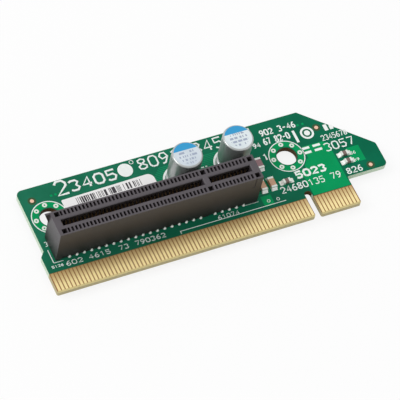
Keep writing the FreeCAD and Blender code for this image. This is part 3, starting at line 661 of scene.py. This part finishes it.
# what is written, left, right, low, high, and the pen's width
number_rows = (
    ("2", -61.2, -57.6, 26.2, 31.0, 0.7),
    ("3405", -57.4, -44.2, 26.4, 30.0, 0.66),
    ("80912345671", -38.2, -5.0, 27.0, 30.6, 0.5),
    ("902 3-46", -4.1, 6.2, 26.8, 28.8, 0.4),
    ("67 82-0", -4.3, 3.4, 24.0, 26.2, 0.42),
    ("94", -7.4, -5.2, 23.9, 25.5, 0.34),
    ("2345678", 10.8, 18.2, 20.5, 22.3, 0.28),
    ("3057", 10.3, 18.9, 17.1, 19.8, 0.42),
    ("5023", -0.8, 8.2, 11.7, 14.3, 0.78),
    ("24680135 79", -6.4, 11.0, 8.8, 10.9, 0.36),
    ("826", 12.6, 17.2, 8.9, 10.9, 0.36),
    ("602", -67.0, -62.5, 6.5, 7.9, 0.22),
    ("4615", -60.9, -55.0, 6.5, 7.9, 0.22),
    ("73", -52.7, -50.0, 6.5, 7.9, 0.22),
    ("790362", -48.2, -39.9, 6.5, 7.9, 0.22),
    ("61074", -25.2, -19.2, 6.9, 8.1, 0.18),
    ("5126", -70.8, -67.6, 6.9, 7.7, 0.18),
    ("36", 16.0, 17.6, 14.3, 15.3, 0.2),
    ("49", 16.0, 17.7, 12.1, 13.0, 0.2),
    ("1", -6.3, -4.9, 19.5, 21.8, 0.6),
    ("30", -69.9, -68.3, 13.4, 14.9, 0.22),
)


def write_numbers(text, left, right, low, high, pen):
    """Draws a row of numbers that fills a box on the board."""
    deselect()
    line = bpy.data.curves.new("numbers", "CURVE")
    line.dimensions = "3D"
    line.bevel_depth = pen / 2 * MM
    line.bevel_resolution = 1
    line.use_fill_caps = True
    pitch = (right - left - pen) / (len(text) - character_gap)
    for position, character in enumerate(text):
        if character in pen_paths:
            path = pen_paths[character]
            stroke = line.splines.new("POLY")
            stroke.points.add(len(path) - 1)
            for point, (across, up) in zip(stroke.points, path):
                x = left + pen / 2 + (position + across * (1 - character_gap)) * pitch
                y = low + pen / 2 + up * (high - low - pen)
                point.co = (*board_point(x, y), 1)
    numbers = bpy.data.objects.new("numbers", line)
    bpy.context.scene.collection.objects.link(numbers)
    bpy.context.view_layer.objects.active = numbers
    numbers.select_set(True)
    bpy.ops.object.convert(target="MESH")
    numbers = bpy.context.object
    flattening = ink_height / (pen / 2)
    numbers.scale.z = flattening
    numbers.location.z = board_top * MM * (1 - flattening)
    bpy.ops.object.transform_apply(location=True, rotation=True, scale=True)
    return numbers


numbers = [write_numbers(*row) for row in number_rows]
finish_piece(numbers, "legend_numbers", ink_material)

# The legend's marks are in the same ink: rings round the holes and the capacitors, a disc and
# small rings, and the straight marks of the socket's outline and of the empty label spaces.
left_can = board_place(can_centres["left"])
right_can = board_place(can_centres["right"])
# place, outer radius, width (0 for a disc) and number of sides
ring_marks = (
    (right_hole, 4.83, 0.25, 72),
    (left_hole, 4.83, 0.25, 72),
    (left_can, 4.65, 0.55, 72),
    (right_can, 4.65, 0.55, 72),
    ((-41.8, 28.4), 2.0, 0, 72),
    ((-39.4, 30.2), 0.6, 0.15, 32),
    ((-10.6, 8.1), 0.45, 0.14, 32),
    ((-8.0, 7.9), 0.45, 0.14, 32),
    ((8.0, 24.2), 1.85, 0.55, 48),
    ((8.0, 24.2), 0.8, 0, 48),
)
# left, right, low, high
straight_marks = (
    (4.3, 5.0, 22.2, 26.0),
    (4.4, 6.6, 19.6, 20.3),
    (4.4, 6.6, 18.2, 18.9),
    (7.6, 9.7, 19.6, 20.3),
    (7.6, 9.7, 18.2, 18.9),
    (12.9, 13.9, 23.3, 25.2),
    (14.4, 15.4, 23.3, 24.6),
    (-69.9, -69.7, 8.3, 12.4),
    (-69.9, -67.2, 8.3, 8.44),
    (-17.0, -13.2, 8.66, 8.74),
    (-36.0, -6.2, 6.78, 6.94),
    (-36.0, -35.84, 6.1, 6.78),
    (-22.9, -22.1, 22.8, 23.05),
    (-21.7, -21.2, 22.8, 23.05),
)
marks = [
    flat_ring(*spot, outer, width, ink_height, steps) for spot, outer, width, steps in ring_marks
]
marks += [flat_patch(*mark, ink_height) for mark in straight_marks]
finish_piece(marks, "legend_marks", ink_material)

# The floor is a plain white sheet that the card lies on. Its glow lifts it to the pale ground
# that a studio sweep gives, and leaves it the card's soft shadow.
floor_size = 4
floor_glow = 0.85
deselect()
bpy.ops.mesh.primitive_plane_add(size=floor_size, location=(0, 0, 0))
floor = bpy.context.object
floor.name = "floor"
floor_material = bpy.data.materials.new("floor_white")
floor_material.use_nodes = True
tree = floor_material.node_tree
shader = tree.nodes["Principled BSDF"]
shader.inputs["Base Color"].default_value = (0.93, 0.93, 0.93, 1)
shader.inputs["Roughness"].default_value = 0.9
glow = node(tree, "Emission")
rays = node(tree, "LightPath")
mixed = node(tree, "MixShader")
shown = calculate(tree, "MULTIPLY", rays.outputs["Is Camera Ray"], floor_glow)
tree.links.new(shown, mixed.inputs["Fac"])
tree.links.new(shader.outputs["BSDF"], mixed.inputs[1])
tree.links.new(glow.outputs["Emission"], mixed.inputs[2])
tree.links.new(mixed.outputs["Shader"], tree.nodes["Material Output"].inputs["Surface"])
floor.data.materials.append(floor_material)
floor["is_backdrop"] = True

# Soft light comes from all round, with one broad lamp above and behind the left end. The world
# looks white itself and in what is polished, and lights the card a little less.
light_level = 0.7
seen_level = 1.0
world = bpy.data.worlds.new("studio")
bpy.context.scene.world = world
world.use_nodes = True
tree = world.node_tree
background = tree.nodes["Background"]
background.inputs["Color"].default_value = (1, 1, 1, 1)
rays = node(tree, "LightPath")
seen = calculate(tree, "MAXIMUM", rays.outputs["Is Camera Ray"], rays.outputs["Is Glossy Ray"])
seen = calculate(tree, "MAXIMUM", seen, rays.outputs["Is Transmission Ray"])
level = calculate(tree, "MULTIPLY_ADD", seen, seen_level - light_level, light_level)
tree.links.new(level, background.inputs["Strength"])
lamp = bpy.data.lights.new("key_lamp", "AREA")
lamp.energy = 8
lamp.size = 0.8
key_lamp = bpy.data.objects.new("key_lamp", lamp)
bpy.context.scene.collection.objects.link(key_lamp)
key_lamp.location = (-0.95, 0.35, 0.95)
key_lamp.rotation_euler = (-key_lamp.location).to_track_quat("-Z", "Y").to_euler()

# The camera has a long lens and looks down on the component side from the card edge's left.
camera_turn = (34.633, -8.358, -24.177)
camera_data = bpy.data.cameras.new("camera")
camera_data.lens = 257.55
camera_data.shift_x = 0.01875
camera_data.shift_y = -0.03375
camera_data.clip_start = 0.01
camera = bpy.data.objects.new("camera", camera_data)
bpy.context.scene.collection.objects.link(camera)
camera.location = (-0.25123, -0.33763, 0.59332)
camera.rotation_euler = [math.radians(angle) for angle in camera_turn]
bpy.context.scene.camera = camera
bpy.context.scene.view_settings.view_transform = "Standard"

low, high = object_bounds()
